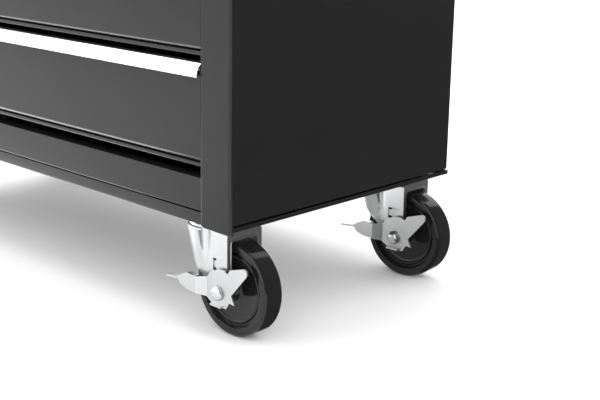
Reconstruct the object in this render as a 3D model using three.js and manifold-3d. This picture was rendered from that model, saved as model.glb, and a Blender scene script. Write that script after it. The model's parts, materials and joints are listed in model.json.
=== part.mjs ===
// Rolling tool cart: a folded steel cabinet with four drawers on ball slides, a push handle at one end,
// two swivel casters with side brakes under the handle and two rigid casters at the other end.
// Millimetres. +X right, +Y to the back, +Z up. The origin is on the floor under the middle of the cart.
import * as THREE from "three";
import { mergeVertices } from "three/addons/utils/BufferGeometryUtils.js";
import Module from "manifold-3d";

const wasm = await Module();
wasm.setup();

// Driving sizes of the cabinet
const bodyWidth = 914;
const bodyDepth = 438;
const stileWidth = 55;
const drawerPitches = [140, 140, 115, 90];
const drawerGap = 8.3;
const topRailHeight = 72;
const topSkirt = 28;

// Clearances
const seat = 0.3; // between pieces that touch
const overrun = 2; // how far a cut runs past what it cuts
const mergeDistance = 1e-4;

// Sheets and folds
const panelSheet = 1.5;
const panSheet = 1.5;
const traySheet = 1.2;
const cornerRadius = 5;
const foldRadius = 3;
const edgeRadius = 2;
const arcError = 0.3; // how far a round may stand from its facets

// Stiles, rails and base pan
const stileReturn = 12;
const rearFlange = 25;
const railRecess = 1;
const railReturn = 20;
const frontStrip = 16.5;
const stripSeam = 1;
const bottomRailHeight = 43.5;
const firstDrawerGap = 12.7;
const sideLip = 7;
const sideSeam = 2.5;
const stileDrop = 2.2;
const stileCorner = 7;
const rearNub = 1.5;
const wallFrontGap = 2;
const wallRearGap = 20;
const backFlange = 14;

// Top panel
const topClearance = 0.6;
const topCorner = 6.5;
const topRimHeight = 7;
const topRimWidth = 13;

// Drawers
const frontRecess = 2;
const frontSideGap = 1.5;
const frontReturn = 13;
const lipHeight = 6.5;
const lipRecess = 2.5;
const lipUnderFold = 1;
const trayTopDrop = 32;
const hemHeight = 9;
const hemThickness = 1.1;

// Drawer pulls
const pullHeight = 18.5;
const pullReach = 9.5;
const pullWall = 1.8;
const pullLeg = 15;

// Drawer slides
const slideHeight = 35;
const slideWidth = 12.7;
const slideSheet = 1.2;
const slideLength = 400;
const slideGap = 0.4;
const slideLip = 3.8;
const slideLift = 8;

// Push handle
const handleRadius = 12.5;
const handleReach = 50;
const handleSpan = 340;
const handleDrop = 70;
const handleSeatDepth = 24;
const socketRadius = 16.5;
const socketCap = 5;
const bracketFlange = [34, 74, 5];
const bracketCorner = 8;
const neckRadii = [15, 11];

// Lock
const lockRadius = 9.5;
const lockReach = 4.5;
const lockBezel = 11.5;
const lockBezelDepth = 1.6;
const lockDepth = 18;
const keySlot = [1.6, 9, 3];
const camLength = 24;
const camWidth = 11;
const camSheet = 2;

// Casters
const casterHeight = 149;
const wheelRadius = 63.5;
const wheelWidth = 33;
const casterInset = 46;
const swivelInset = 72.6;
const trail = 41;
const rearCasterTurn = THREE.MathUtils.degToRad(3.3);
const plateLength = 92;
const plateWidth = 60;
const plateSheet = 3;
const plateCorner = 7;
const boltSpacing = [74, 43];
const boltHole = 4.5;
const raceRadius = 32;
const raceDrop = 4;
const raceWall = 5;
const forkSheet = 3;
const forkBend = 4.5;
const legClearance = 11;
const wheelClearance = 3;
const skirtRadius = 39.5;
const skirtRing = 10;
const skirtShoulder = 2;
const legEnd = 15;
const legEndRound = 13.5;
const legRight = 9.5; // from the axle to the leg's upright edge
const legLip = 7;
const crownLip = 11;
const forkDepthShares = { knee: 0.44, hip: 0.62, waist: 0.7, heel: 0.865, toe: 0.65 };
const fluteRadii = [9.5, 7];
const flutePlaces = [-27.5, -24]; // its upper and lower ends, from the axle
const fluteDepth = 2.5;
const forkSlot = [7.5, 16];
const forkSlotPlace = [-12.9, 33.5];
const slotEnd = 3.5;
const louverWidth = 8.5;
const louverRise = 1.6;
const louverLift = 3.5;
const kingpinRadius = 6;
const kingpinHead = [10.5, 3.4];
const axleRadius = 5;
const axleHead = [9.8, 8];
const domeShares = { rim: 0.45, shoulder: 0.8, crown: 0.4 };
const hubRadius = 17;
const hubNose = 10;
const webHalf = 9.5;
const rimInner = 52.5;
const recessRadius = 49.5;
const ridgeRadius = 44.5;
const ridgeHalfWidth = 1.4;
const ridgeRise = 2;
const treadRound = 5.5;
const wheelSides = 24;
const skirtSides = 16;
const pinSides = 14;
const holeSides = 8;

// Brakes
const brakeSheet = 2.4;
const brakeReach = 52.8; // from the axle to the tip of the wing
const brakeStandoff = 4.4;
const brakeJog = 9.7;
const brakeTab = [20, 5];
const pedalFlange = 9;

// Rigid casters
const rigidLegTop = 62;
const rigidLegFoot = 30;

const finishes = {
  paint: { color: 0x2c2c2d, roughness: 0.42, metalness: 0.15 },
  aluminium: { color: 0xf0f0f0, roughness: 0.28, metalness: 0.9 },
  zinc: { color: 0xd8d9da, roughness: 0.3, metalness: 0.85 },
  slide: { color: 0xb9bbbd, roughness: 0.35, metalness: 0.85 },
  chrome: { color: 0xe4e5e6, roughness: 0.12, metalness: 1 },
  wheel: { color: 0x111112, roughness: 0.3, metalness: 0 },
};

// Heights and half sizes that follow
const openHalf = bodyWidth / 2 - stileWidth;
const wallFace = openHalf;
const stripTop = casterHeight + frontStrip;
const railFoot = stripTop + stripSeam;
const railTop = railFoot + bottomRailHeight;
const firstDrawer = railTop + firstDrawerGap;
const pitchSum = drawerPitches.reduce((sum, pitch) => sum + pitch, 0);
const topRailFoot = firstDrawer + pitchSum;
const bodyTop = topRailFoot + topRailHeight;
const frontPlane = frontRecess;
const trayHalf = wallFace - slideWidth - seat;
const trayFront = frontPlane + frontReturn + seat;
const trayBack = trayFront + slideLength;
const sideFoot = casterHeight + sideLip + sideSeam;
const liningFoot = casterHeight + sideLip + seat;
const crownTop = -plateSheet - raceDrop - seat;
const crownFoot = crownTop - forkSheet;
const axleDrop = casterHeight - wheelRadius;
const legInner = wheelWidth / 2 + legClearance;
const legOuter = legInner + forkSheet;
const hubHalf = legInner - seat;
const forkRight = trail + legRight;

// A closed geometry as a solid, with its faces turned outwards.
function solidFrom(geometry) {
  const bare = new THREE.BufferGeometry().setAttribute("position", geometry.getAttribute("position").clone());
  if (geometry.index) bare.setIndex(geometry.index.clone());
  const merged = mergeVertices(bare, mergeDistance);
  const triangles = [];
  for (let i = 0; i < merged.index.count; i += 3) {
    const [a, b, c] = [0, 1, 2].map((k) => merged.index.getX(i + k));
    if (a !== b && b !== c && c !== a) triangles.push([a, b, c]);
  }
  const build = (faces) =>
    new wasm.Manifold(
      new wasm.Mesh({
        numProp: 3,
        vertProperties: merged.attributes.position.array,
        triVerts: new Uint32Array(faces.flat()),
      }),
    );
  const solid = build(triangles);
  return solid.volume() < 0 ? build(triangles.map(([a, b, c]) => [a, c, b])) : solid;
}

// A solid as a geometry with flat facets.
function geometryFrom(solid) {
  const mesh = solid.getMesh();
  const places = new Float32Array(mesh.numVert * 3);
  for (let i = 0; i < mesh.numVert; i++)
    places.set(mesh.vertProperties.subarray(i * mesh.numProp, i * mesh.numProp + 3), i * 3);
  const indexed = new THREE.BufferGeometry()
    .setAttribute("position", new THREE.BufferAttribute(places, 3))
    .setIndex(new THREE.BufferAttribute(mesh.triVerts, 1));
  const geometry = indexed.toNonIndexed();
  geometry.computeVertexNormals();
  return geometry;
}

const union = (...solids) => solids.reduce((sum, solid) => sum.add(solid));
const cutAll = (solid, cuts) => cuts.reduce((rest, cut) => rest.subtract(cut), solid);

// An outline of corners [a, b, radius], with each radius as a round of short steps, and as a single flat
// where it is no more than a sheet's thickness.
function rounded(corners) {
  return corners.flatMap(([a, b, radius = 0], i) => {
    if (radius <= 0) return [[a, b]];
    const here = new THREE.Vector2(a, b);
    const towards = (corner) => new THREE.Vector2(corner[0], corner[1]).sub(here).normalize();
    const before = towards(corners.at(i - 1));
    const after = towards(corners[(i + 1) % corners.length]);
    const half = before.angleTo(after) / 2;
    const centre = before.clone().add(after).normalize().multiplyScalar(radius / Math.sin(half)).add(here);
    const start = before.clone().multiplyScalar(radius / Math.tan(half)).add(here);
    const sweep = (Math.PI - 2 * half) * -Math.sign(before.cross(after));
    const arcStep = 2 * Math.acos(1 - Math.min(arcError / radius, 0.5));
    const steps = radius > panelSheet ? Math.max(2, Math.ceil(Math.abs(sweep) / arcStep)) : 1;
    return Array.from({ length: steps + 1 }, (_, k) =>
      start.clone().rotateAround(centre, (sweep * k) / steps).toArray(),
    );
  });
}

// The outline of a sheet that follows an open path of corners [a, b, radius]. It lies left of the path, or
// right of it where the thickness is negative, and each radius is the outside radius of the fold.
function sheetOutline(path, thickness) {
  const ways = path
    .slice(1)
    .map(([a, b], i) => new THREE.Vector2(a - path[i][0], b - path[i][1]).normalize());
  const near = [];
  const far = [];
  path.forEach(([a, b, radius = 0], i) => {
    const into = ways[Math.max(i - 1, 0)];
    const out = ways[Math.min(i, ways.length - 1)];
    const normal = new THREE.Vector2(-into.y - out.y, into.x + out.x).normalize();
    const reach = thickness / normal.dot(new THREE.Vector2(-into.y, into.x));
    const inside = Math.max(radius - Math.abs(thickness), 0);
    const pathOutside = into.cross(out) > 0 === thickness > 0;
    near.push([a, b, pathOutside ? radius : inside]);
    far.unshift([a + normal.x * reach, b + normal.y * reach, pathOutside ? inside : radius]);
  });
  return rounded([...near, ...far]);
}

// An outline drawn out along an axis. Along x it is (y, z), along y it is (x, z), along z it is (x, y).
function prism(outline, axis, from, to) {
  const shape = new THREE.Shape(outline.map(([a, b]) => new THREE.Vector2(a, b)));
  const geometry = new THREE.ExtrudeGeometry(shape, { depth: to - from, bevelEnabled: false });
  const [x, y, z] = [new THREE.Vector3(1, 0, 0), new THREE.Vector3(0, 1, 0), new THREE.Vector3(0, 0, 1)];
  const turn = { x: [y, z, x], y: [x, z, y], z: [x, y, z] }[axis];
  geometry.translate(0, 0, from).applyMatrix4(new THREE.Matrix4().makeBasis(...turn));
  return solidFrom(geometry);
}

function block([x0, x1], [y0, y1], [z0, z1]) {
  const geometry = new THREE.BoxGeometry(x1 - x0, y1 - y0, z1 - z0);
  return solidFrom(geometry.translate((x0 + x1) / 2, (y0 + y1) / 2, (z0 + z1) / 2));
}

// A profile of [radius, height] points turned about an axis, with a flat facet towards the ground.
function turned(profile, axis, sides) {
  const points = profile.map(([radius, height]) => new THREE.Vector2(radius, height));
  const geometry = new THREE.LatheGeometry(points, sides).rotateY(Math.PI / sides);
  if (axis === "z") geometry.rotateX(Math.PI / 2);
  if (axis === "x") geometry.rotateZ(-Math.PI / 2);
  return solidFrom(geometry);
}

const rod = (radius, axis, from, to, sides = pinSides) =>
  turned([[0, from], [radius, from], [radius, to], [0, to]], axis, sides);

const rectangle = (width, height, radius) =>
  rounded([
    [-width / 2, -height / 2, radius],
    [width / 2, -height / 2, radius],
    [width / 2, height / 2, radius],
    [-width / 2, height / 2, radius],
  ]);

const moved = (outline, a, b) => outline.map(([x, y]) => [x + a, y + b]);
const mirrored = (outline, side) => outline.map(([x, y]) => [side * x, y]);

const cart = new THREE.Group();

function add(parent, name, solid, finish) {
  const mesh = new THREE.Mesh(geometryFrom(solid), new THREE.MeshStandardMaterial(finishes[finish]));
  mesh.name = name;
  parent.add(mesh);
}

// Side panel: stile return, stile, side and rear flange in one sheet. The side stops above the pan's lip,
// and the stile runs down past the pan.
function sidePanel(side) {
  const half = bodyWidth / 2;
  const path = [
    [openHalf, stileReturn],
    [openHalf, 0, edgeRadius],
    [half, 0, cornerRadius],
    [half, bodyDepth, foldRadius],
    [half - rearFlange, bodyDepth],
  ];
  const sheet = prism(mirrored(sheetOutline(path, panelSheet), side), "z", casterHeight - stileDrop, bodyTop);
  const foot = block(
    [-half - overrun, half + overrun],
    [cornerRadius, bodyDepth + overrun],
    [casterHeight - stileDrop - overrun, sideFoot],
  );
  const corner = [
    [openHalf - overrun, casterHeight - stileDrop - overrun],
    [openHalf + stileCorner, casterHeight - stileDrop],
    [openHalf, casterHeight],
    [openHalf - overrun, casterHeight],
  ];
  return cutAll(sheet, [foot, prism(mirrored(corner, side), "y", -overrun, cornerRadius)]);
}

// Inner wall: carries the slides, flanged out to the side panel at both ends.
function innerWall(side) {
  const reach = bodyWidth / 2 - panelSheet - seat;
  const front = stileReturn + wallFrontGap;
  const back = bodyDepth - wallRearGap;
  const path = [
    [reach, front],
    [wallFace, front, foldRadius],
    [wallFace, back, foldRadius],
    [reach, back],
  ];
  const outline = mirrored(sheetOutline(path, -panelSheet), side);
  return prism(outline, "z", liningFoot, bodyTop - seat);
}

function backPanel() {
  const half = bodyWidth / 2 - panelSheet - seat;
  const face = bodyDepth - panelSheet - seat;
  const path = [
    [-half, face - backFlange],
    [-half, face, foldRadius],
    [half, face, foldRadius],
    [half, face - backFlange],
  ];
  return prism(sheetOutline(path, -panelSheet), "z", liningFoot, bodyTop - seat);
}

// Base pan: a floor with a lip under each side panel and at the back, and a front strip between the stiles.
function basePan() {
  const half = bodyWidth / 2;
  const frontHalf = openHalf - seat;
  const back = bodyDepth + rearNub;
  const lipTop = casterHeight + sideLip;
  const across = rounded([
    [-half, lipTop],
    [-half, casterHeight, foldRadius],
    [half, casterHeight, foldRadius],
    [half, lipTop],
  ]);
  const along = rounded([
    [0, lipTop],
    [0, casterHeight],
    [back, casterHeight, foldRadius],
    [back, lipTop],
  ]);
  const hollow = block(
    [panSheet - half, half - panSheet],
    [-overrun, back - panSheet],
    [casterHeight + panSheet, lipTop + overrun],
  );
  const tray = prism(across, "y", cornerRadius + seat, back).intersect(prism(along, "x", -half, half));
  const strip = [
    [railRecess, stripTop],
    [railRecess, casterHeight, edgeRadius],
    [bodyDepth / 2, casterHeight],
  ];
  return tray.subtract(hollow).add(prism(sheetOutline(strip, panSheet), "x", -frontHalf, frontHalf));
}

// A rail between the stiles, with its returns at top and bottom.
function rail(foot, top) {
  const path = [
    [railRecess + railReturn, top],
    [railRecess, top, edgeRadius],
    [railRecess, foot, edgeRadius],
    [railRecess + railReturn, foot],
  ];
  return prism(sheetOutline(path, panelSheet), "x", -openHalf + seat, openHalf - seat);
}

const lockHeight = (topRailFoot + bodyTop - topSkirt) / 2;

function topRail() {
  const hole = rod(lockRadius + seat, "y", -overrun, railRecess + panelSheet + overrun);
  return rail(topRailFoot, bodyTop - seat).subtract(hole.translate([0, 0, lockHeight]));
}

// Top panel: a skirted lid with a raised, hollow rim round a sunk floor.
function topPanel() {
  const width = bodyWidth + 2 * (topClearance + panelSheet);
  const depth = bodyDepth + rearNub + 2 * (topClearance + panelSheet);
  const floor = bodyTop + seat;
  const top = floor + topRimHeight;
  const plate = (inset, from, to) => {
    const corner = topCorner - Math.min(inset, topCorner / 2);
    const outline = rectangle(width - 2 * inset, depth - 2 * inset, corner);
    return prism(moved(outline, 0, (bodyDepth + rearNub) / 2), "z", from, to);
  };
  const outer = plate(0, bodyTop - topSkirt, top - edgeRadius)
    .add(plate(edgeRadius / 2, bodyTop - topSkirt, top));
  const below = plate(panelSheet, bodyTop - topSkirt - overrun, floor);
  const rimHollow = plate(panelSheet, floor - overrun, top - panelSheet)
    .subtract(plate(topRimWidth - panelSheet, floor - 2 * overrun, top));
  const sunk = plate(topRimWidth, floor + panelSheet, top + overrun);
  return cutAll(outer, [below, rimHollow, sunk]);
}

add(cart, "side_panel_right", sidePanel(1), "paint");
add(cart, "side_panel_left", sidePanel(-1), "paint");
add(cart, "inner_wall_right", innerWall(1), "paint");
add(cart, "inner_wall_left", innerWall(-1), "paint");
add(cart, "back_panel", backPanel(), "paint");
add(cart, "base_pan", basePan(), "paint");
add(cart, "bottom_rail", rail(railFoot, railTop), "paint");
add(cart, "top_rail", topRail(), "paint");
add(cart, "top_panel", topPanel(), "paint");

// Lock: a bezelled plug through the top rail, with a key slot and a cam behind.
function lockCylinder() {
  const front = railRecess - lockReach;
  const bezelBack = railRecess - seat;
  const plug = turned(
    [
      [0, front],
      [lockRadius - edgeRadius / 2, front],
      [lockRadius, front + edgeRadius / 2],
      [lockRadius, bezelBack - lockBezelDepth],
      [lockBezel, bezelBack - lockBezelDepth],
      [lockBezel, bezelBack],
      [lockRadius, bezelBack],
      [lockRadius, railRecess + lockDepth],
      [0, railRecess + lockDepth],
    ],
    "y",
    pinSides,
  );
  const camBack = railRecess + lockDepth;
  const camOutline = moved(rectangle(camWidth, camLength, camWidth / 3), 0, camLength / 4);
  const cam = prism(camOutline, "y", camBack - camSheet, camBack);
  const slot = block(
    [-keySlot[0] / 2, keySlot[0] / 2],
    [front - overrun, front + keySlot[2]],
    [-keySlot[1] / 2, keySlot[1] / 2],
  );
  return plug.add(cam).subtract(slot).translate([0, 0, lockHeight]);
}

add(cart, "lock_cylinder", lockCylinder(), "chrome");

// Push handle on the right side: a bar whose ends sit in two cast brackets.
const handleMiddle = bodyDepth / 2;
const handleHeight = bodyTop - handleDrop;
const handleAxis = bodyWidth / 2 + handleReach;

function handleBracket(end) {
  const [flangeWidth, flangeHeight, flangeDepth] = bracketFlange;
  const face = bodyWidth / 2 + seat;
  const inner = handleSpan / 2;
  const outer = inner + handleSeatDepth + socketCap;
  const middle = (inner + outer) / 2;
  const flangeOutline = moved(rectangle(flangeWidth, flangeHeight, bracketCorner), middle, 0);
  const flange = prism(flangeOutline, "x", face, face + flangeDepth);
  const neck = turned(
    [
      [0, face],
      [neckRadii[0], face],
      [neckRadii[0], face + flangeDepth],
      [neckRadii[1], face + 2 * flangeDepth],
      [neckRadii[1], handleAxis],
      [0, handleAxis],
    ],
    "x",
    pinSides,
  ).translate([0, middle, 0]);
  const socket = turned(
    [
      [0, inner],
      [socketRadius - edgeRadius, inner],
      [socketRadius, inner + edgeRadius],
      [socketRadius, outer - edgeRadius],
      [socketRadius - edgeRadius, outer],
      [0, outer],
    ],
    "y",
    pinSides,
  ).translate([handleAxis, 0, 0]);
  const bore = rod(handleRadius + seat, "y", inner - overrun, outer - socketCap);
  const bracket = union(flange, neck, socket).subtract(bore.translate([handleAxis, 0, 0]));
  const placed = end > 0 ? bracket : bracket.mirror([0, 1, 0]);
  return placed.translate([0, handleMiddle, handleHeight]);
}

const barHalf = handleSpan / 2 + handleSeatDepth - seat;
const handleBar = rod(handleRadius, "y", -barHalf, barHalf);
add(cart, "handle_bar", handleBar.translate([handleAxis, handleMiddle, handleHeight]), "chrome");
add(cart, "handle_bracket_front", handleBracket(-1), "paint");
add(cart, "handle_bracket_rear", handleBracket(1), "paint");

// Drawer front: one sheet with a return at the top and a round fold under the face.
function drawerFront(foot, top) {
  const half = openHalf - frontSideGap;
  const path = [
    [frontPlane + frontReturn, top],
    [frontPlane, top, edgeRadius],
    [frontPlane, foot, foldRadius],
    [frontPlane + frontReturn, foot],
  ];
  return prism(sheetOutline(path, panelSheet), "x", -half, half);
}

// Drawer tray: an open box with hemmed side walls, whose floor runs forward to a lip under the front.
function drawerTray(foot, height) {
  const walls = block([-trayHalf, trayHalf], [trayFront, trayBack], [foot, foot + height]);
  const between = [trayFront + traySheet, trayBack - traySheet];
  const hollow = (wall, from, to) => block([-trayHalf + wall, trayHalf - wall], between, [from, to]);
  const inside = hollow(traySheet, foot + traySheet, foot + height - hemHeight);
  const mouth = hollow(traySheet + hemThickness, foot + height / 2, foot + height + overrun);
  const lipHalf = openHalf - frontSideGap;
  const lip = [
    [trayFront + traySheet, foot],
    [frontPlane + lipRecess, foot, edgeRadius],
    [frontPlane + lipRecess, foot + lipHeight - lipUnderFold],
  ];
  const tongue = prism(sheetOutline(lip, -traySheet), "x", -lipHalf, lipHalf);
  return cutAll(walls, [inside, mouth]).add(tongue);
}

// Pull: a flange over the drawer's top edge, a leg down its face and a face that leans out to the grip.
function drawerPull(top) {
  const half = openHalf - frontSideGap;
  const leg = frontPlane - seat;
  const nose = leg - pullWall;
  const flange = [
    [frontPlane + frontReturn, top],
    [nose, top],
    [nose, top - pullWall],
    [frontPlane + frontReturn, top - pullWall],
  ];
  const back = [
    [nose, top],
    [leg, top],
    [leg, top - pullLeg],
    [nose, top - pullLeg],
  ];
  const face = rounded([
    [leg, top],
    [nose, top],
    [-pullReach, top - pullHeight + pullWall],
    [-pullReach, top - pullHeight, pullWall / 3],
    [-pullReach + pullWall, top - pullHeight, pullWall / 3],
    [-pullReach + pullWall, top - pullHeight + pullWall],
    [leg, top - pullWall],
  ]);
  return union(...[flange, back, face].map((outline) => prism(outline, "x", -half, half)));
}

// Slide sections: the rail is a channel open towards the drawer, the runner one open towards the wall.
function slideRail(side, middle) {
  const out = wallFace - seat;
  const inner = wallFace - slideWidth + slideSheet + slideGap;
  const high = slideHeight / 2;
  const path = [
    [inner, high - slideLip],
    [inner, high, edgeRadius],
    [out, high, edgeRadius],
    [out, -high, edgeRadius],
    [inner, -high, edgeRadius],
    [inner, slideLip - high],
  ];
  return prism(moved(mirrored(sheetOutline(path, -slideSheet), side), 0, middle), "y", trayFront, trayBack);
}

function slideRunner(side, middle) {
  const inner = trayHalf + seat;
  const out = wallFace - slideSheet - 2 * edgeRadius;
  const high = slideHeight / 2 - slideLip - slideGap;
  const path = [
    [out, high],
    [inner, high, edgeRadius],
    [inner, -high, edgeRadius],
    [out, -high],
  ];
  return prism(moved(mirrored(sheetOutline(path, slideSheet), side), 0, middle), "y", trayFront, trayBack);
}

let drawerFoot = firstDrawer;
drawerPitches.forEach((pitch, i) => {
  const number = i + 1;
  const height = pitch - drawerGap;
  const top = drawerFoot + height;
  const slideMiddle = drawerFoot + slideLift + slideHeight / 2;
  add(cart, `drawer_front_${number}`, drawerFront(drawerFoot + lipHeight, top - pullWall - seat), "paint");
  add(cart, `drawer_tray_${number}`, drawerTray(drawerFoot, height - trayTopDrop), "paint");
  add(cart, `drawer_pull_${number}`, drawerPull(top), "aluminium");
  for (const [name, side] of [["right", 1], ["left", -1]]) {
    add(cart, `slide_rail_${name}_${number}`, slideRail(side, slideMiddle), "slide");
    add(cart, `slide_runner_${name}_${number}`, slideRunner(side, slideMiddle), "slide");
  }
  drawerFoot += pitch;
});

// The four bolt holes of a caster plate.
function boltHoles() {
  const [across, along] = boltSpacing.map((spacing) => spacing / 2);
  const hole = rod(boltHole, "z", -plateSheet - overrun, overrun, holeSides);
  return [-1, 1].flatMap((x) => [-1, 1].map((y) => hole.translate([x * across, y * along, 0])));
}

// Caster pieces stand in the caster's own frame: origin on the swivel axis at the mounting face, the wheel
// trailing towards +X.
function casterPlate() {
  const plate = prism(rectangle(plateLength, plateWidth, plateCorner), "z", -plateSheet, 0);
  const race = turned(
    [
      [0, -plateSheet],
      [0, -plateSheet - raceDrop],
      [raceRadius - raceWall, -plateSheet - raceDrop],
      [raceRadius, -plateSheet - raceDrop / 2],
      [raceRadius, -plateSheet / 2],
      [0, -plateSheet / 2],
    ],
    "z",
    skirtSides,
  );
  const pinHole = rod(kingpinRadius + seat, "z", -plateSheet - raceDrop - overrun, overrun);
  const headSeat = rod(kingpinHead[0] + seat, "z", -plateSheet / 2, overrun);
  return cutAll(plate.add(race), [...boltHoles(), pinHole, headSeat]);
}

// Kingpin: a rivet flush with the plate's top, headed under the fork's crown.
function kingpin() {
  const [headRadius, headDepth] = kingpinHead;
  const headTop = crownFoot - seat;
  return turned(
    [
      [0, -seat],
      [headRadius, -seat],
      [headRadius, -plateSheet / 2 + seat],
      [kingpinRadius, -plateSheet / 2 + seat],
      [kingpinRadius, headTop],
      [headRadius, headTop],
      [headRadius - edgeRadius / 2, headTop - headDepth],
      [0, headTop - headDepth],
    ].reverse(),
    "z",
    pinSides,
  );
}

// Side view of a fork leg: wide at the crown, drawn in along the back to a round end at the axle.
function legOutline() {
  const { knee, hip, heel, toe } = forkDepthShares;
  return rounded([
    [-skirtRadius, crownTop],
    [-skirtRadius, -axleDrop * knee],
    [-skirtRadius / 2, -axleDrop * hip, legEnd],
    [trail - 2 * legEnd, -axleDrop * heel - edgeRadius, 2 * legEnd],
    [trail - legEnd, -axleDrop - legEnd, legEndRound],
    [trail + legEnd, -axleDrop - legEnd, legEndRound],
    [trail + legEnd, -axleDrop * heel, legEnd / 2],
    [forkRight, -axleDrop * toe, legEnd],
    [forkRight, crownTop],
  ]);
}

// A body that tapers between two upright discs, each [x, y, radius, height].
function tapered(discs) {
  const plates = discs.map(([x, y, radius, height]) =>
    rod(radius, "z", height - seat, height, skirtSides).translate([x, y, 0]));
  return wasm.Manifold.hull(plates);
}

// Fork: a bent saddle with a lip turned in along its edge, whose legs run on as a round skirt that flares
// to the crown about the swivel axis, with a flute stamped where the skirt meets each leg.
function fork() {
  const foot = -axleDrop - 2 * legEnd;
  const skirtFoot = -axleDrop * forkDepthShares.waist;
  const bent = (half) => [
    [-half, foot],
    [-half, crownTop, forkBend],
    [half, crownTop, forkBend],
    [half, foot],
  ];
  const saddle = prism(sheetOutline(bent(legOuter), -forkSheet), "x", 0, trail + legEnd);
  const lipFoot = -axleDrop + hubRadius + 2 * edgeRadius;
  const lipHollow = prism(
    rounded([
      [-legOuter + legLip, foot],
      [-legOuter + legLip, crownTop - crownLip, forkBend],
      [legOuter - legLip, crownTop - crownLip, forkBend],
      [legOuter - legLip, foot],
    ]),
    "x",
    0,
    2 * forkRight,
  );
  const lipSheet = prism(rounded(bent(legOuter)), "x", forkRight - forkSheet, forkRight);
  const above = block([0, 2 * forkRight], [-legOuter, legOuter], [lipFoot, crownTop]);
  const lip = lipSheet.subtract(lipHollow).intersect(above);
  const flat = 1 / Math.cos(Math.PI / skirtSides);
  const skirt = (profile) => turned(profile.map(([radius, z]) => [radius * flat, z]), "z", skirtSides);
  const skirtWall = skirt([
    [0, foot],
    [legOuter, foot],
    [legOuter, skirtFoot],
    [skirtRadius, crownTop - skirtShoulder],
    [skirtRadius - skirtShoulder, crownTop],
    [0, crownTop],
  ]);
  const skirtHollow = skirt([
    [0, foot - overrun],
    [legInner, foot - overrun],
    [legInner, skirtFoot],
    [skirtRadius - forkSheet, crownFoot],
    [0, crownFoot],
  ]);
  const [fluteTop, fluteFoot] = flutePlaces.map((place) => trail + place);
  const wheelHalf = wheelWidth / 2 + wheelClearance;
  const wheelWay = block([-2 * skirtRadius, 0], [-wheelHalf, wheelHalf], [2 * foot, crownTop - skirtRing]);
  const saddleWay = block([0, 2 * forkRight], [-legInner, legInner], [2 * foot, crownFoot]);
  const besideLegs = [-1, 1].map((side) => {
    const reach = [side * legOuter, side * 2 * skirtRadius].sort((a, b) => a - b);
    return block([fluteTop, 2 * forkRight], reach, [2 * foot, overrun]);
  });
  const beyondLegs = block([trail, 2 * forkRight], [-legOuter, legOuter], [2 * foot, crownTop]);
  const envelope = skirtWall.subtract(beyondLegs).add(
    block([0, forkRight], [-legOuter, legOuter], [skirtFoot, crownTop - forkBend]),
  );
  const flutes = (wall) => [-1, 1].map((side) => {
    const away = side * (legOuter + fluteRadii[0] - fluteDepth);
    return tapered([
      [fluteTop, away, fluteRadii[0] + wall, crownTop + overrun],
      [fluteFoot, away, fluteRadii[1] + wall, skirtFoot],
    ]);
  });
  const ribs = cutAll(union(...flutes(forkSheet)).intersect(envelope), besideLegs);
  const shell = cutAll(skirtWall, [skirtHollow, wheelWay, saddleWay, ...besideLegs]);
  const besideSkirt = [-2 * skirtRadius, 2 * skirtRadius];
  const flared = block([besideSkirt[0], fluteTop], besideSkirt, [2 * foot, overrun]);
  const legs = saddle.subtract(skirtHollow.intersect(flared));
  const side = prism(legOutline(), "y", ...besideSkirt);
  const [slotWidth, slotHeight] = forkSlot;
  const [slotX, slotZ] = [trail + forkSlotPlace[0], -axleDrop + forkSlotPlace[1]];
  const slotAcross = [slotX - slotWidth / 2, slotX + slotWidth / 2];
  const through = [-2 * legOuter, 2 * legOuter];
  const floor = legOuter - forkSheet / 2;
  const slot = block(slotAcross, through, [slotZ - slotHeight / 2, slotZ + slotHeight / 2]);
  const bridgeHigh = slotHeight / 2 - slotEnd;
  const bridge = block(slotAcross, [-floor, floor], [slotZ - bridgeHigh, slotZ + bridgeHigh]);
  const louver = prism(
    [
      [slotX + slotWidth / 2, -legOuter + forkSheet / 2],
      [slotX + slotWidth / 2, -legOuter - louverRise],
      [slotX + slotWidth / 2 + louverWidth, -legOuter],
      [slotX + slotWidth / 2 + louverWidth, -legOuter + forkSheet / 2],
    ],
    "z",
    slotZ - slotHeight / 2 + louverLift,
    slotZ + slotHeight / 2,
  );
  const axleHole = rod(axleRadius + seat, "y", -2 * legOuter, 2 * legOuter).translate([trail, 0, -axleDrop]);
  const pinHole = rod(kingpinRadius + seat, "z", 2 * crownFoot, overrun);
  const body = union(legs, shell, ribs, lip).intersect(side).add(louver);
  return cutAll(body, [...flutes(0), slot.subtract(bridge), axleHole, pinHole]);
}

// Axle: a bolt with a domed head outside the brake, a domed nut behind the rear leg, and a collar that
// fills what the stack in front of the fork leaves free.
function axle(standoff, frontStack) {
  const [headRadius, headDepth] = axleHead;
  const front = -legOuter - frontStack - seat;
  const back = legOuter + seat;
  const collar = [
    [axleRadius, -legOuter - standoff + seat],
    [hubNose, -legOuter - standoff + seat],
    [hubNose, -legOuter - seat],
    [axleRadius, -legOuter - seat],
  ];
  const dome = (place, way) => [
    [axleRadius, place],
    [headRadius, place],
    [headRadius, place + way * headDepth * domeShares.rim],
    [headRadius * domeShares.shoulder, place + way * headDepth * domeShares.shoulder],
    [headRadius * domeShares.crown, place + way * headDepth],
    [0, place + way * headDepth],
  ];
  const profile = [...dome(front, -1).reverse(), ...(standoff > 0 ? collar : []), ...dome(back, 1)];
  return turned(profile, "y", pinSides).translate([trail, 0, -axleDrop]);
}

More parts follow.
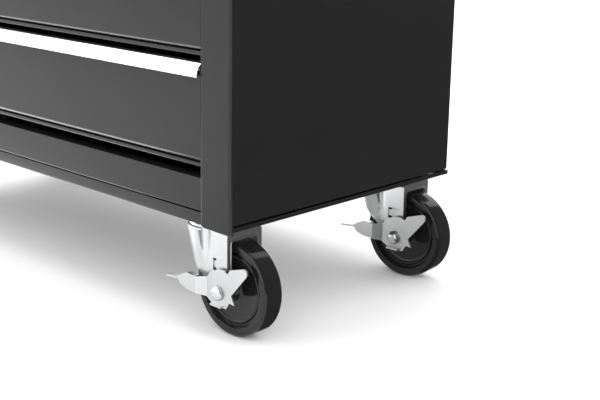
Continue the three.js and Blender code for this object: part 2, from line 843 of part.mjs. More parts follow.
// Wheel: moulded disc with a raised rim band, a ridge on the web and rounded tread edges.
function wheel() {
  const half = wheelWidth / 2;
  const flat = 1 / Math.cos(Math.PI / wheelSides);
  const tread = Array.from({ length: 3 }, (_, k) => {
    const angle = (Math.PI / 4) * k;
    return [
      wheelRadius - treadRound * (1 - Math.sin(angle)),
      half - treadRound * (1 - Math.cos(angle)),
    ];
  });
  const oneSide = [
    [axleRadius + seat, hubHalf],
    [hubNose, hubHalf],
    [hubRadius, webHalf],
    [ridgeRadius - 2 * ridgeHalfWidth, webHalf],
    [ridgeRadius, webHalf + ridgeRise],
    [ridgeRadius + 2 * ridgeHalfWidth, webHalf],
    [recessRadius, webHalf],
    [rimInner, half],
    ...tread,
  ];
  const profile = [...oneSide, ...oneSide.map(([radius, y]) => [radius, -y]).reverse()];
  const closed = [...profile, profile[0]].map(([radius, y]) => [radius * flat, y]);
  return turned(closed, "y", wheelSides).translate([trail, 0, -axleDrop]);
}

// Outline of the brake plate about the axle, as shares of its reach.
const brakeShares = [
  [-0.4, 0.31],
  [-0.28, 0.47, 0.1],
  [-0.02, 0.59, 0.12],
  [0.2, 0.6, 0.04],
  [0.33, 0.55],
  [0.41, 0.67],
  [0.93, 0.83, 0.09],
  [1.01, 0.69, 0.1],
  [0.45, 0.04],
  [0.56, -0.18],
  [0.39, -0.16],
  [0.28, -0.34, 0.03],
  [-0.21, -0.31, 0.03],
  [-0.4, -0.19],
];
// Outline of the pedal's web, and of the tread plate along its top edge.
const pedalShares = [
  [-0.61, -0.12],
  [-0.61, 0.3],
  [-0.92, 0.33, 0.2],
  [-1.14, 0.23, 0.2],
  [-1.28, 0.12, 0.03],
  [-1.16, -0.03, 0.15],
  [-0.93, -0.1, 0.3],
];
const treadShares = [
  [-0.66, 0.3],
  [-0.92, 0.33],
  [-1.14, 0.23],
  [-1.28, 0.13],
  [-1.7, 0.095],
];

const brakeCorners = (shares) => shares.map((corner) => corner.map((share) => share * brakeReach));

// Brake: a plate on the axle with a wing and two prongs, a jogged arm and a spoon pedal.
function brake() {
  const inner = -legOuter - brakeStandoff;
  const outer = inner - brakeSheet;
  const pedal = outer - brakeJog;
  const plate = prism(rounded(brakeCorners(brakeShares)), "y", outer, inner);
  const armRight = brakeShares[0][0] * brakeReach;
  const armLeft = pedalShares[0][0] * brakeReach;
  const armFoot = brakeShares.at(-1)[1] * brakeReach;
  const armTop = brakeShares[0][1] * brakeReach;
  const arm = prism(
    [
      [armRight + seat, inner],
      [armRight + seat, outer],
      [armLeft, pedal],
      [armLeft - seat, pedal],
      [armLeft - seat, pedal + brakeSheet],
      [armLeft, pedal + brakeSheet],
      [armRight, inner],
    ],
    "z",
    armFoot,
    armTop,
  );
  const armSide = prism(
    [
      [armRight + overrun, armFoot],
      [armRight + overrun, armTop],
      [armLeft - overrun, pedalShares[1][1] * brakeReach],
      [armLeft - overrun, pedalShares[0][1] * brakeReach],
    ],
    "y",
    2 * pedal,
    0,
  );
  const web = prism(rounded(brakeCorners(pedalShares)), "y", pedal, pedal + brakeSheet);
  const tread = prism(sheetOutline(brakeCorners(treadShares), brakeSheet), "y", pedal, pedal + pedalFlange);
  const [tabWidth, tabReach] = brakeTab;
  const tabFoot = brakeShares.at(-2)[1] * brakeReach - edgeRadius / 2;
  const tabAcross = [-tabWidth / 2, tabWidth / 2];
  const tab = block(tabAcross, [outer - tabReach, inner], [tabFoot, tabFoot + brakeSheet]);
  const hole = rod(axleRadius + seat, "y", 2 * outer, 0);
  const lever = union(plate, arm.intersect(armSide), web, tread, tab).subtract(hole);
  return lever.translate([trail, 0, -axleDrop]);
}

function placedGroup(x, y, turn) {
  const group = new THREE.Group();
  group.position.set(x, y, casterHeight - seat);
  group.rotation.z = turn;
  cart.add(group);
  return group;
}

const brakeStack = brakeStandoff + brakeSheet;
const swivelPlaces = [
  ["front", casterInset, 0],
  ["rear", bodyDepth - casterInset, rearCasterTurn],
];
for (const [name, y, turn] of swivelPlaces) {
  const x = bodyWidth / 2 - swivelInset;
  const fixed = placedGroup(x, y, 0);
  add(fixed, `caster_plate_${name}`, casterPlate(), "zinc");
  add(fixed, `kingpin_${name}`, kingpin(), "zinc");
  const swivelling = placedGroup(x, y, turn);
  add(swivelling, `swivel_fork_${name}`, fork(), "zinc");
  add(swivelling, `swivel_axle_${name}`, axle(brakeStandoff, brakeStack), "zinc");
  add(swivelling, `swivel_wheel_${name}`, wheel(), "wheel");
  add(swivelling, `brake_${name}`, brake(), "zinc");
}

// Rigid bracket: plate and two tapered legs bent from one sheet.
function rigidBracket() {
  const foot = -axleDrop - legEnd;
  const bent = [
    [-legOuter, foot],
    [-legOuter, -plateSheet / 2, forkBend],
    [legOuter, -plateSheet / 2, forkBend],
    [legOuter, foot],
  ];
  const legs = prism(sheetOutline(bent, -forkSheet), "x", -rigidLegTop / 2, rigidLegTop / 2);
  const outline = rounded([
    [-rigidLegTop / 2, 0],
    [-rigidLegTop / 2, -axleDrop / 4, legEnd],
    [-rigidLegFoot / 2, -axleDrop, legEnd],
    [-rigidLegFoot / 2, -axleDrop - legEnd, legEndRound],
    [rigidLegFoot / 2, -axleDrop - legEnd, legEndRound],
    [rigidLegFoot / 2, -axleDrop, legEnd],
    [rigidLegTop / 2, -axleDrop / 4, legEnd],
    [rigidLegTop / 2, 0],
  ]);
  const flat = prism(rectangle(plateLength, plateWidth + 2 * forkBend, plateCorner), "z", -plateSheet, 0);
  const side = prism(outline, "y", -plateWidth, plateWidth);
  const hole = rod(axleRadius + seat, "y", -2 * legOuter, 2 * legOuter).translate([0, 0, -axleDrop]);
  return cutAll(legs.intersect(side).add(flat), [...boltHoles(), hole]);
}

for (const [name, y] of [["front", casterInset], ["rear", bodyDepth - casterInset]]) {
  const group = placedGroup(-bodyWidth / 2 + swivelInset, y, 0);
  add(group, `rigid_bracket_${name}`, rigidBracket(), "zinc");
  add(group, `rigid_axle_${name}`, axle(0, 0).translate([-trail, 0, 0]), "zinc");
  add(group, `rigid_wheel_${name}`, wheel().translate([-trail, 0, 0]), "wheel");
}

// The origin goes to the middle of the foot of the cart's box.
const box = new THREE.Box3().setFromObject(cart);
const middle = box.getCenter(new THREE.Vector3());
cart.position.set(-middle.x, -middle.y, -box.min.z);

export default cart;
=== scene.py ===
"""Looks of the rolling tool cart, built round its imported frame.

Places, and the sizes of the studio and of textures, are in metres, with +X to the handle end, +Y to the back
and +Z up. Sizes and outlines of pieces are in millimetres.
"""
import json
import math

import bmesh
import bpy
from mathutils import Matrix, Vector

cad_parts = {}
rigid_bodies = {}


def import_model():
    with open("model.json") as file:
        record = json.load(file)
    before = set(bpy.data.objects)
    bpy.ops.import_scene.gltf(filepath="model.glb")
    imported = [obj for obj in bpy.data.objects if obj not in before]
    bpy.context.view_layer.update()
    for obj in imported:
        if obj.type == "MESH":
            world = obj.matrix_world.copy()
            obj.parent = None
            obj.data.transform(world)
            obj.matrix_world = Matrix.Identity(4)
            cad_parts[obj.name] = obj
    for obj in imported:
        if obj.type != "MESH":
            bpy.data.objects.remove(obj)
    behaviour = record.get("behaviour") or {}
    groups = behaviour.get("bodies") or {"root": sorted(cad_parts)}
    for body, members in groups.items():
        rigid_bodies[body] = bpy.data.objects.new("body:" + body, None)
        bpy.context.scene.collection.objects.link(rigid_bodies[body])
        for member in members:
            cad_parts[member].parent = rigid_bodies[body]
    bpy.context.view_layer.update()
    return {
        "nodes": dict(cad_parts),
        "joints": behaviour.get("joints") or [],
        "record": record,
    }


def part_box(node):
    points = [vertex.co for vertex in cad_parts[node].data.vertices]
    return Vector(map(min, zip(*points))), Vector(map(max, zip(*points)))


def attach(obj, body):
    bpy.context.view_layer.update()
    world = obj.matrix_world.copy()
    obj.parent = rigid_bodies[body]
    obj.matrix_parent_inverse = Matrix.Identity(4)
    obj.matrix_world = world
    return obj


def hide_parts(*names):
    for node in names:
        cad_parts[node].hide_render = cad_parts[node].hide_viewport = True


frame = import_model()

MM = 0.001
NODES = frame["nodes"]
JOINTS = {joint["name"]: joint for joint in frame["joints"]}


def low(node):
    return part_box(node)[0]


def high(node):
    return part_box(node)[1]


# Camera: its place is taken from the foot of the body's front right corner

FOCAL_PIXELS = 1186.3
FRAME_PIXELS = 600
SHIFT_PIXELS = (90, -30)
SENSOR = 36
CLIP = (0.05, 60)
CAMERA_YAW = math.radians(47.41)
CAMERA_PITCH = math.radians(14.2)
CAMERA_FROM_CORNER = Vector((1.0047, -0.9576, 0.4332))


def make_camera():
    data = bpy.data.cameras.new("camera")
    data.sensor_width = SENSOR
    data.lens = FOCAL_PIXELS * SENSOR / FRAME_PIXELS
    data.shift_x, data.shift_y = [pixels / FRAME_PIXELS for pixels in SHIFT_PIXELS]
    data.clip_start, data.clip_end = CLIP
    camera = bpy.data.objects.new("camera", data)
    bpy.context.scene.collection.objects.link(camera)
    corner = Vector((high("side_panel_right").x, low("side_panel_right").y, low("base_pan").z))
    forward = Vector((-math.sin(CAMERA_YAW) * math.cos(CAMERA_PITCH),
                      math.cos(CAMERA_YAW) * math.cos(CAMERA_PITCH),
                      -math.sin(CAMERA_PITCH)))
    camera.location = corner + CAMERA_FROM_CORNER
    camera.rotation_euler = forward.to_track_quat("-Z", "Y").to_euler()
    bpy.context.scene.camera = camera


# Materials

NOISE_MIDDLE = (0.3, 0.7)  # the part of a noise's range that most of it lies in
GLOW_STRENGTH = 5.5


class Shader:
    """A node material: its shader, and a few helpers that add texture to it."""

    def __init__(self, name, **values):
        self.material = bpy.data.materials.new(name)
        self.material.use_nodes = True
        self.tree = self.material.node_tree
        self.surface = self.tree.nodes["Principled BSDF"]
        self.place = self.tree.nodes.new("ShaderNodeTexCoord").outputs["Object"]
        for socket, value in values.items():
            self.surface.inputs[socket.replace("_", " ")].default_value = value

    def node(self, kind, inputs):
        """Adds a node, whose inputs are linked where a socket is given and set where a value is."""
        made = self.tree.nodes.new("ShaderNode" + kind)
        for key, value in inputs.items():
            if isinstance(value, bpy.types.NodeSocket):
                self.tree.links.new(value, made.inputs[key])
            else:
                made.inputs[key].default_value = value
        return made

    def noise(self, size, stretch=(1, 1, 1), detail=3):
        """Noise whose spots are about that size in metres, drawn out along the axes by stretch."""
        scaled = self.node("Mapping", {"Vector": self.place, "Scale": [1 / (size * s) for s in stretch]})
        made = self.node("TexNoise", {"Vector": scaled.outputs[0], "Scale": 1.0, "Detail": detail})
        return made.outputs["Fac"]

    def tint(self, factor, dark, light):
        ramp = self.node("ValToRGB", {"Fac": factor})
        for stop, place, colour in zip(ramp.color_ramp.elements, NOISE_MIDDLE, (dark, light)):
            stop.position = place
            stop.color = (*colour, 1)
        self.tree.links.new(ramp.outputs["Color"], self.surface.inputs["Base Color"])

    def rough(self, factor, least, most):
        start, end = NOISE_MIDDLE
        spread = self.node("MapRange", {"Value": factor, "From Min": start, "From Max": end,
                                        "To Min": least, "To Max": most})
        self.tree.links.new(spread.outputs["Result"], self.surface.inputs["Roughness"])

    def bump(self, height, depth, strength):
        made = self.node("Bump", {"Height": height, "Distance": depth, "Strength": strength})
        self.tree.links.new(made.outputs["Normal"], self.surface.inputs["Normal"])


def grey(level):
    return (level, level, level)


def paint_material():
    """Black powder coat with a fine orange peel."""
    shader = Shader("paint", IOR=1.38)
    shader.tint(shader.noise(size=0.09), dark=(0.0092, 0.0092, 0.0094), light=(0.0108, 0.0108, 0.011))
    shader.rough(shader.noise(size=0.004), least=0.2, most=0.25)
    shader.bump(shader.noise(size=0.0016, detail=2), depth=0.00002, strength=0.3)
    return shader.material


def zinc_material():
    """Bright zinc plating of the casters, slightly cloudy."""
    shader = Shader("zinc", Metallic=1.0)
    shader.tint(shader.noise(size=0.02), dark=(0.57, 0.575, 0.58), light=(0.59, 0.595, 0.6))
    shader.rough(shader.noise(size=0.03), least=0.3, most=0.33)
    shader.bump(shader.noise(size=0.03, detail=1), depth=0.00003, strength=0.1)
    return shader.material


def aluminium_material():
    """Brushed aluminium of the pulls, with its lines along X."""
    shader = Shader("aluminium", Metallic=1.0)
    lines = shader.noise(size=0.0005, stretch=(120, 1, 1), detail=2)
    shader.tint(shader.noise(size=0.05), dark=(0.9, 0.9, 0.905), light=(0.95, 0.95, 0.955))
    shader.rough(lines, least=0.2, most=0.32)
    shader.bump(lines, depth=0.000006, strength=0.5)
    return shader.material


def slide_material():
    """Rolled steel of the slides, with its lines along Y."""
    shader = Shader("slide_steel", Metallic=1.0)
    lines = shader.noise(size=0.0006, stretch=(1, 80, 1), detail=2)
    shader.tint(shader.noise(size=0.03), dark=(0.52, 0.53, 0.54), light=(0.64, 0.645, 0.65))
    shader.rough(lines, least=0.26, most=0.4)
    shader.bump(lines, depth=0.00001, strength=0.4)
    return shader.material


def chrome_material():
    """Chrome plating of the handle bar and the lock."""
    shader = Shader("chrome", Metallic=1.0)
    shader.tint(shader.noise(size=0.03), dark=(0.5, 0.505, 0.51), light=(0.55, 0.555, 0.56))
    shader.rough(shader.noise(size=0.01), least=0.05, most=0.1)
    return shader.material


def wheel_material():
    """Glossy black moulding of the wheels."""
    shader = Shader("wheel", IOR=1.4)
    shader.tint(shader.noise(size=0.02), dark=(0.0085, 0.0085, 0.0088), light=(0.0115, 0.0115, 0.0118))
    shader.rough(shader.noise(size=0.02), least=0.1, most=0.15)
    shader.bump(shader.noise(size=0.003, detail=1), depth=0.00001, strength=0.15)
    return shader.material


def floor_material():
    shader = Shader("floor", Roughness=0.9, Specular_IOR_Level=0.0)
    shader.tint(shader.noise(size=0.4), dark=grey(0.8), light=grey(0.82))
    return shader.material


def flag_material():
    shader = Shader("flag", Roughness=0.9, Specular_IOR_Level=0.0)
    shader.tint(shader.noise(size=0.3), dark=grey(0.055), light=grey(0.065))
    return shader.material


def glow_material():
    shader = Shader("glow", Emission_Strength=GLOW_STRENGTH, Emission_Color=(*grey(1), 1))
    shader.tint(shader.noise(size=0.3), dark=grey(0.8), light=grey(0.82))
    return shader.material


MATERIALS = {
    "paint": paint_material(),
    "zinc": zinc_material(),
    "aluminium": aluminium_material(),
    "slide_steel": slide_material(),
    "chrome": chrome_material(),
    "wheel": wheel_material(),
}


# Stage and lights

FLOOR_HALF = 14
ABOVE_FLOOR = 0.001
FLAG_FROM_SIDE = 0.6
FLAG_BEFORE_FRONT = 0.35
FLAG_BEHIND_FRONT = 0.05
FLAG_DEPTH = 4.2
FLAG_HEIGHT = 2.4
GLOW_ACROSS = (-0.8, 0.05)
GLOW_BEFORE = (-0.44, -0.235)
SKY = [(0.0, 1.15), (0.35, 2.6), (1.0, 1.2)]  # sine of the height above the horizon, and the light there
TOP_LIGHT_PLACE = Vector((-1.2, 0.3, 3.4))
TOP_LIGHT_SIZE = 3.4
TOP_LIGHT_WATTS = 90


def board(name, corners, material):
    mesh = bpy.data.meshes.new(name)
    mesh.from_pydata(corners, [], [(0, 1, 2, 3)])
    mesh.materials.append(material)
    made = bpy.data.objects.new(name, mesh)
    bpy.context.scene.collection.objects.link(made)
    return made


def lying(across, deep, height):
    """Corners of a level board, from its span in X, its span in Y and its height."""
    (left, right), (front, back) = across, deep
    return [(left, front, height), (right, front, height), (right, back, height), (left, back, height)]


def in_gloss_alone(reflector):
    reflector.visible_camera = False
    reflector.visible_diffuse = False
    reflector.visible_shadow = False


def make_floor():
    span = (-FLOOR_HALF, FLOOR_HALF)
    board("floor", lying(span, span, 0), floor_material())


def make_flags():
    """Two dark boards, one standing beside the cart and one lying by it, that keep its right side dark."""
    side, front = high("side_panel_right").x, low("side_panel_right").y
    x, start, back = side + FLAG_FROM_SIDE, front - FLAG_BEFORE_FRONT, front + FLAG_DEPTH
    foot, top = ABOVE_FLOOR, FLAG_HEIGHT
    standing = [(x, start, foot), (x, back, foot), (x, back, top), (x, start, top)]
    in_gloss_alone(board("flag", standing, flag_material()))
    flat = lying((side, x), (front + FLAG_BEHIND_FRONT, back), foot)
    in_gloss_alone(board("flag_foot", flat, flag_material()))


def make_glow():
    """A bright reflector lying before the cart, which draws the light lines along the drawers' folds."""
    in_gloss_alone(board("glow", lying(GLOW_ACROSS, GLOW_BEFORE, ABOVE_FLOOR), glow_material()))


def make_room():
    """A white room that is brightest a little above the horizon."""
    world = bpy.data.worlds.new("studio")
    bpy.context.scene.world = world
    world.use_nodes = True
    nodes, links = world.node_tree.nodes, world.node_tree.links
    split = nodes.new("ShaderNodeSeparateXYZ")
    links.new(nodes.new("ShaderNodeTexCoord").outputs["Generated"], split.inputs[0])
    brightest = max(level for _, level in SKY)
    ramp = nodes.new("ShaderNodeValToRGB")
    ramp.color_ramp.elements.new(SKY[1][0])
    for stop, (place, level) in zip(ramp.color_ramp.elements, SKY):
        stop.position = place
        stop.color = (*grey(level / brightest), 1)
    links.new(split.outputs["Z"], ramp.inputs[0])
    links.new(ramp.outputs["Color"], nodes["Background"].inputs["Color"])
    nodes["Background"].inputs["Strength"].default_value = brightest


def make_top_light():
    """A wide soft light overhead, turned to the middle of the floor under the cart."""
    data = bpy.data.lights.new("top_light", "AREA")
    data.size = TOP_LIGHT_SIZE
    data.energy = TOP_LIGHT_WATTS
    light = bpy.data.objects.new("top_light", data)
    bpy.context.scene.collection.objects.link(light)
    light.location = TOP_LIGHT_PLACE
    light.rotation_euler = (-TOP_LIGHT_PLACE).to_track_quat("-Z", "Y").to_euler()


# Dressing of the frame's own nodes, with sizes in millimetres and angles in degrees

WELD_REACH = 0.02
FLAT_ANGLE = 1
EDGE_ANGLE = 32
EDGE_SEGMENTS = 2
EDGE_ROUND = 0.3
# Nodes whose rounding isn't clamped, by the start of their names: it is under half of their shortest edge.
FREE_ROUNDS = {
    "swivel_fork": 0.04,
    "rigid_bracket": 0.15,
    "drawer_tray": 0.5,
    "side_panel": 0.3,
    "base_pan": 0.3,
    "bottom_rail": 0.3,
}


def dress(node, slot):
    """Welds a node's facets, rounds its edges a little and shades its folds smoothly."""
    dressed = NODES[node]
    dressed.data.materials.clear()
    dressed.data.materials.append(MATERIALS[slot])
    for polygon in dressed.data.polygons:
        polygon.use_smooth = True
    weld = dressed.modifiers.new("weld", "WELD")
    weld.merge_threshold = WELD_REACH * MM
    flat = dressed.modifiers.new("flat", "DECIMATE")
    flat.decimate_type = "DISSOLVE"
    flat.angle_limit = math.radians(FLAT_ANGLE)
    free_round = next((width for start, width in FREE_ROUNDS.items() if node.startswith(start)), None)
    edge = dressed.modifiers.new("edge", "BEVEL")
    edge.width = (free_round or EDGE_ROUND) * MM
    edge.use_clamp_overlap = free_round is None
    edge.segments = EDGE_SEGMENTS
    edge.limit_method = "ANGLE"
    edge.angle_limit = math.radians(EDGE_ANGLE)
    even = dressed.modifiers.new("even", "WEIGHTED_NORMAL")
    even.keep_sharp = True


# Meshes and pieces

TURNED_SHARP = 28
SHEET_SHARP = 32


def arc(centre, radius, start, end, steps):
    """Points of an arc in a plane, whose angles in degrees start from the first axis."""
    angles = [math.radians(start + (end - start) * k / steps) for k in range(steps + 1)]
    return [(centre[0] + radius * math.cos(a), centre[1] + radius * math.sin(a)) for a in angles]


def circle(mesh, middle, across, along, radius, sides):
    """Adds the vertices of a circle, with its radius in millimetres, in the plane of two unit vectors."""
    angles = [2 * math.pi * k / sides for k in range(sides)]
    spokes = [(across * math.cos(a) + along * math.sin(a)) * radius * MM for a in angles]
    return [mesh.verts.new(middle + spoke) for spoke in spokes]


def skin(mesh, loops):
    """Adds the faces from each loop of vertices to the next; a loop may be one vertex over and over."""
    for near, far in zip(loops, loops[1:]):
        for k in range(len(near)):
            after = (k + 1) % len(near)
            mesh.faces.new(list(dict.fromkeys([near[k], near[after], far[after], far[k]])))


def turned(mesh, rings, origin, axis, sides, closed=False):
    """Adds rings [radius, height], in millimetres, turned about an axis; closed joins last and first."""
    axis = Vector(axis).normalized()
    across = axis.orthogonal().normalized()
    along = axis.cross(across)
    loops = []
    for radius, height in rings:
        middle = Vector(origin) + axis * height * MM
        if radius == 0:
            loops.append([mesh.verts.new(middle)] * sides)
        else:
            loops.append(circle(mesh, middle, across, along, radius, sides))
    skin(mesh, loops + (loops[:1] if closed else []))


def bar(mesh, route, radius, sides, square):
    """Adds a round bar along a route in the plane square to a unit vector."""
    loops = []
    for k, place in enumerate(route):
        along = (route[min(k + 1, len(route) - 1)] - route[max(k - 1, 0)]).normalized()
        loops.append(circle(mesh, place, square, along.cross(square), radius, sides))
    skin(mesh, loops)
    mesh.faces.new(loops[0])
    mesh.faces.new(loops[-1])


def extruded(outline, corner, across):
    """Mesh of a closed outline [back, up], in millimetres from a corner [y, z], drawn out across in X."""
    places = [(corner[0] + back * MM, corner[1] + up * MM) for back, up in outline]
    mesh = bmesh.new()
    ends = [[mesh.verts.new((x, y, z)) for y, z in places] for x in across]
    skin(mesh, ends)
    caps = [mesh.faces.new(end) for end in ends]
    bmesh.ops.triangulate(mesh, faces=caps)
    return mesh


def piece(name, mesh, slot, body, replaced=None, sharp=TURNED_SHARP):
    """Makes a piece of a mesh that rides on a body, smooth but at edges sharper than so many degrees."""
    bmesh.ops.recalc_face_normals(mesh, faces=mesh.faces)
    data = bpy.data.meshes.new(name)
    mesh.to_mesh(data)
    mesh.free()
    data.shade_smooth()
    data.set_sharp_from_angle(angle=math.radians(sharp))
    data.materials.append(MATERIALS[slot])
    made = bpy.data.objects.new(name, data)
    bpy.context.scene.collection.objects.link(made)
    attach(made, body)
    if replaced:
        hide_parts(replaced)


# Drawer fronts: a sheet folded back under the handle and, in a wide round fold, along its foot

FRONT_SHEET = 1.5
FRONT_TOP_ROUND = 2
FRONT_FOLD = 7
FOLD_STEPS = 16


def front_outline(depth, height):
    """Outline [back, up] of the folded sheet: down its outer side, and up again on its inner one."""
    top_centre = (FRONT_TOP_ROUND, height - FRONT_TOP_ROUND)
    fold_centre = (FRONT_FOLD, FRONT_FOLD)
    outer = [(depth, height)] + arc(top_centre, FRONT_TOP_ROUND, 90, 180, FOLD_STEPS // 2)
    outer += arc(fold_centre, FRONT_FOLD, 180, 270, FOLD_STEPS) + [(depth, 0)]
    inner = [(depth, FRONT_SHEET)] + arc(fold_centre, FRONT_FOLD - FRONT_SHEET, 270, 180, FOLD_STEPS)
    inner += arc(top_centre, FRONT_TOP_ROUND - FRONT_SHEET, 180, 90, FOLD_STEPS // 2)
    return outer + inner + [(depth, height - FRONT_SHEET)]


def make_front(number):
    node = f"drawer_front_{number}"
    box_low, box_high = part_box(node)
    outline = front_outline((box_high.y - box_low.y) / MM, (box_high.z - box_low.z) / MM)
    mesh = extruded(outline, (box_low.y, box_low.z), (box_low.x, box_high.x))
    piece(f"front_{number}", mesh, "paint", f"drawer_{number}", node, SHEET_SHARP)


# Drawer pulls: their outline [back, up] is measured from the body's front and the drawer's top

PULL_BACK = 15  # from the body's front to the pull's rear edge
PULL_OUTLINE = [
    (15, 0), (4.4, 0), (3.2, -0.25), (2.2, -0.95), (1.45, -1.9), (-0.3, -3.6), (-1.8, -5.6), (-2.9, -7.7),
    (-3.7, -9.9), (-4.3, -12.2), (-4.7, -14.6), (-4.85, -16.3), (-4.75, -16.95), (-4.35, -17.4),
    (-3.8, -17.45), (-3.35, -17.1), (-3.15, -16.4), (-2.95, -14.2), (-2.5, -12.0), (-1.8, -9.9),
    (-0.9, -8.0), (0.2, -6.6), (0.3, -8.6), (1.7, -8.6), (1.7, -1.8), (15, -1.8),
]


def make_pull(number):
    node = f"drawer_pull_{number}"
    box_low, box_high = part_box(node)
    mesh = extruded(PULL_OUTLINE, (box_high.y - PULL_BACK * MM, box_high.z), (box_low.x, box_high.x))
    piece(f"pull_{number}", mesh, "aluminium", f"drawer_{number}", node, SHEET_SHARP)


# Wheels: half of the profile [radius, height], from the bore out to the tread, whose edge is round

WHEEL_SIDES = 128
WHEEL_HALF = 16.5  # half of the tread's width
WHEEL_RADIUS = 63.5
TREAD_ROUND = 5.5
TREAD_STEPS = 10
WHEEL_PROFILE = [
    (5.3, 27.2), (9.4, 27.2), (10.1, 26.7), (14.7, 12.4), (15.9, 10.8), (17.8, 9.9), (20.5, 9.5),
    (41.2, 9.5), (42.0, 9.8), (42.9, 11.1), (43.6, 11.5), (45.4, 11.5), (46.1, 11.1), (47.2, 9.8),
    (48.0, 9.5), (49.3, 9.6), (50.0, 10.3), (51.9, 15.7), (52.4, 16.3), (53.2, 16.5), (56.6, 16.5),
]


def make_wheel(joint, node, name):
    tread_centre = (WHEEL_RADIUS - TREAD_ROUND, WHEEL_HALF - TREAD_ROUND)
    half = WHEEL_PROFILE + arc(tread_centre, TREAD_ROUND, 90, 0, TREAD_STEPS)
    rings = half + [(radius, -height) for radius, height in reversed(half)]
    mesh = bmesh.new()
    turned(mesh, rings, joint["pos_m"], joint["axis"], WHEEL_SIDES, closed=True)
    piece(name, mesh, "wheel", joint["child"], node)


# Axles: a domed head at each end and, behind a brake plate, the collar that keeps it off the fork

AXLE_SIDES = 48
AXLE_RADIUS = 5
COLLAR_RADIUS = 10
FORK_OUTER = 30.5  # half of the width over a fork's legs
BRAKE_STANDOFF = 4.4  # from the leg to the brake plate
BRAKE_SHEET = 2.4
SEAT_GAP = 0.3
# Domed head from its rim in to a small dimple in its middle.
DOME = [
    (9.4, 0), (9.8, 0.5), (9.8, 2.4), (9.5, 3.6), (8.8, 4.9), (7.6, 6.1), (6.0, 7.1), (4.2, 7.7), (2.4, 7.98),
    (1.6, 7.9), (1.1, 7.5), (0.7, 7.35), (0, 7.3),
]


def make_axle(joint, node, name, braked):
    front = -FORK_OUTER - SEAT_GAP - (BRAKE_STANDOFF + BRAKE_SHEET if braked else 0)
    back = FORK_OUTER + SEAT_GAP
    collar_front, collar_back = -FORK_OUTER - BRAKE_STANDOFF + SEAT_GAP, -FORK_OUTER - SEAT_GAP
    collar = [
        (AXLE_RADIUS, collar_front),
        (COLLAR_RADIUS, collar_front),
        (COLLAR_RADIUS, collar_back),
        (AXLE_RADIUS, collar_back),
    ]
    rings = [(radius, front - height) for radius, height in reversed(DOME)] + [(AXLE_RADIUS, front)]
    rings += collar if braked else []
    rings += [(AXLE_RADIUS, back)] + [(radius, back + height) for radius, height in DOME]
    mesh = bmesh.new()
    turned(mesh, rings, joint["pos_m"], joint["axis"], AXLE_SIDES)
    piece(name, mesh, "zinc", joint["parent"], node)


# Caster bolts: their heads and washers stand under the plate

FASTENER_SIDES = 24
HEX_SIDES = 6
BOLT_PLACES = (37, 21.5)  # from the plate's middle, in X and Y
PLATE_SHEET = 3
WASHER = [(4.6, 0), (5.7, 0), (5.7, 0.7), (5.5, 0.9), (4.6, 0.9)]
HEX_HEAD = [(0, 0.9), (5.4, 0.9), (5.4, 3.3), (4.9, 3.8), (0, 3.8)]


def mounting(joint):
    """The place over a joint at the height of the caster plates' upper face."""
    x, y, _ = joint["pos_m"]
    return x, y, high("caster_plate_front").z


def make_bolts(name, mount):
    x, y, top = mount
    mesh = bmesh.new()
    for side in (-1, 1):
        for end in (-1, 1):
            place = (x + side * BOLT_PLACES[0] * MM, y + end * BOLT_PLACES[1] * MM, top - PLATE_SHEET * MM)
            turned(mesh, WASHER, place, (0, 0, -1), FASTENER_SIDES, closed=True)
            turned(mesh, HEX_HEAD, place, (0, 0, -1), HEX_SIDES)
    piece(name, mesh, "zinc", "cabinet")


# Race cover under a swivel caster's plate, and the round shoulder of its fork, from the mounting face down

RING_SIDES = 96
RACE_COVER = [(31, -3), (36.4, -3), (36.8, -3.4), (36.8, -6.4), (36.2, -7), (31, -7)]
SHOULDER = [(36.9, -7.35), (38.5, -7.35), (39.1, -7.6), (39.45, -8.2), (39.48, -9.35), (37.6, -9.35)]
SHOULDER_REACH = 10  # from the kingpin to the right


def make_race_cover(name, mount):
    mesh = bmesh.new()
    turned(mesh, RACE_COVER, mount, (0, 0, 1), RING_SIDES, closed=True)
    piece(name, mesh, "zinc", "cabinet")


def make_shoulder(name, mount, swivel):
    """The shoulder's ring, cut off to the right of the kingpin, where a straight fork's flute starts."""
    x, y, top = mount
    mesh = bmesh.new()
    turned(mesh, SHOULDER, mount, (0, 0, 1), RING_SIDES, closed=True)
    bmesh.ops.bisect_plane(mesh, geom=mesh.verts[:] + mesh.edges[:] + mesh.faces[:], clear_outer=True,
                           plane_co=(x + SHOULDER_REACH * MM, y, top), plane_no=(1, 0, 0))
    bmesh.ops.holes_fill(mesh, edges=[edge for edge in mesh.edges if edge.is_boundary])
    piece(name, mesh, "zinc", swivel)


# Rolled edge along the inside of a swivel fork's lip: up one side, along the top and down the other side

LIP_HALF = 23.5  # half of the distance between its two upright stretches
LIP_TOP = 18.3  # below the mounting face
LIP_ABOVE_AXLE = 21.5  # at its two feet
LIP_RIGHT = 8.9  # of the axle
LIP_BEND = 4.5
BEND_STEPS = 12
ROLL_RADIUS = 1.2
ROLL_SIDES = 12


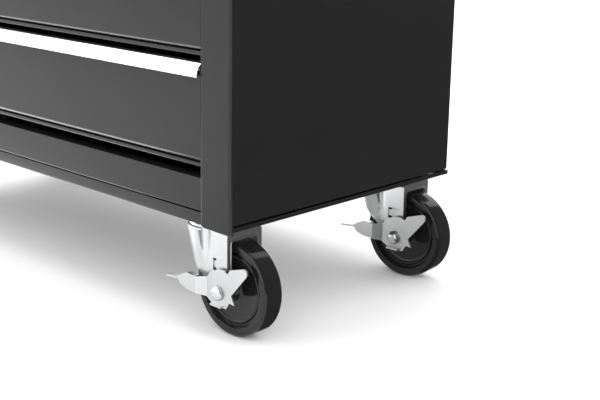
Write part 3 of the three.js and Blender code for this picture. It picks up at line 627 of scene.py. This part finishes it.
def make_lip_edge(name, axle, mount, swivel):
    """The roll as it lies on a straight fork; it doesn't follow the rear fork's small turn at rest."""
    _, y, top = mount
    x, foot = axle[0] + LIP_RIGHT * MM, axle[2] + LIP_ABOVE_AXLE * MM
    half, crown = LIP_HALF - LIP_BEND, -LIP_TOP - LIP_BEND
    bends = arc((-half, crown), LIP_BEND, 180, 90, BEND_STEPS)
    bends += arc((half, crown), LIP_BEND, 90, 0, BEND_STEPS)
    upper = [Vector((x, y + back * MM, top + up * MM)) for back, up in bends]
    route = [Vector((x, upper[0].y, foot)), *upper, Vector((x, upper[-1].y, foot))]
    mesh = bmesh.new()
    bar(mesh, route, ROLL_RADIUS, ROLL_SIDES, Vector((1, 0, 0)))
    piece(name, mesh, "zinc", swivel)


# Screws of the handle brackets: a button head, from its foot over the rim to the floor of its socket

SCREW = [
    (0, 0), (5.2, 0), (5.2, 0.6), (4.9, 1.5), (4.2, 2.2), (3.2, 2.6), (2.2, 2.7), (2.0, 2.6), (2.0, 1.2),
    (0, 1.2),
]
FLANGE_DEPTH = 5
SCREW_PLACE = 27  # from the bracket's middle, up and down


def make_bracket_screws(name, node):
    box_low, box_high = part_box(node)
    middle = (box_low + box_high) / 2
    mesh = bmesh.new()
    for end in (-1, 1):
        place = (box_low.x + FLANGE_DEPTH * MM, middle.y, middle.z + end * SCREW_PLACE * MM)
        turned(mesh, SCREW, place, (1, 0, 0), FASTENER_SIDES)
    piece(name, mesh, "zinc", "cabinet")


def make_end(end):
    """The pieces of the two casters and of the handle bracket at one end, front or rear."""
    right = JOINTS[f"right_wheel_{end}_spin"]
    left = JOINTS[f"left_wheel_{end}_spin"]
    make_wheel(right, f"swivel_wheel_{end}", f"wheel_right_{end}")
    make_wheel(left, f"rigid_wheel_{end}", f"wheel_left_{end}")
    make_axle(right, f"swivel_axle_{end}", f"axle_right_{end}", braked=True)
    make_axle(left, f"rigid_axle_{end}", f"axle_left_{end}", braked=False)
    swivel, mount = right["parent"], mounting(JOINTS[f"swivel_{end}_turn"])
    make_bolts(f"bolts_right_{end}", mount)
    make_race_cover(f"race_{end}", mount)
    make_shoulder(f"shoulder_{end}", mount, swivel)
    make_lip_edge(f"lip_edge_{end}", right["pos_m"], mount, swivel)
    make_bolts(f"bolts_left_{end}", mounting(left))
    make_bracket_screws(f"bracket_screws_{end}", f"handle_bracket_{end}")


for row in frame["record"]["subparts"]:
    dress(row["node"], row["material_slot"])

drawer_count = sum(node.startswith("drawer_front_") for node in NODES)
for number in range(1, drawer_count + 1):
    make_front(number)
    make_pull(number)

for end in ("front", "rear"):
    make_end(end)

make_camera()
make_floor()
make_flags()
make_glow()
make_room()
make_top_light()
bpy.context.scene.view_settings.view_transform = "Standard"
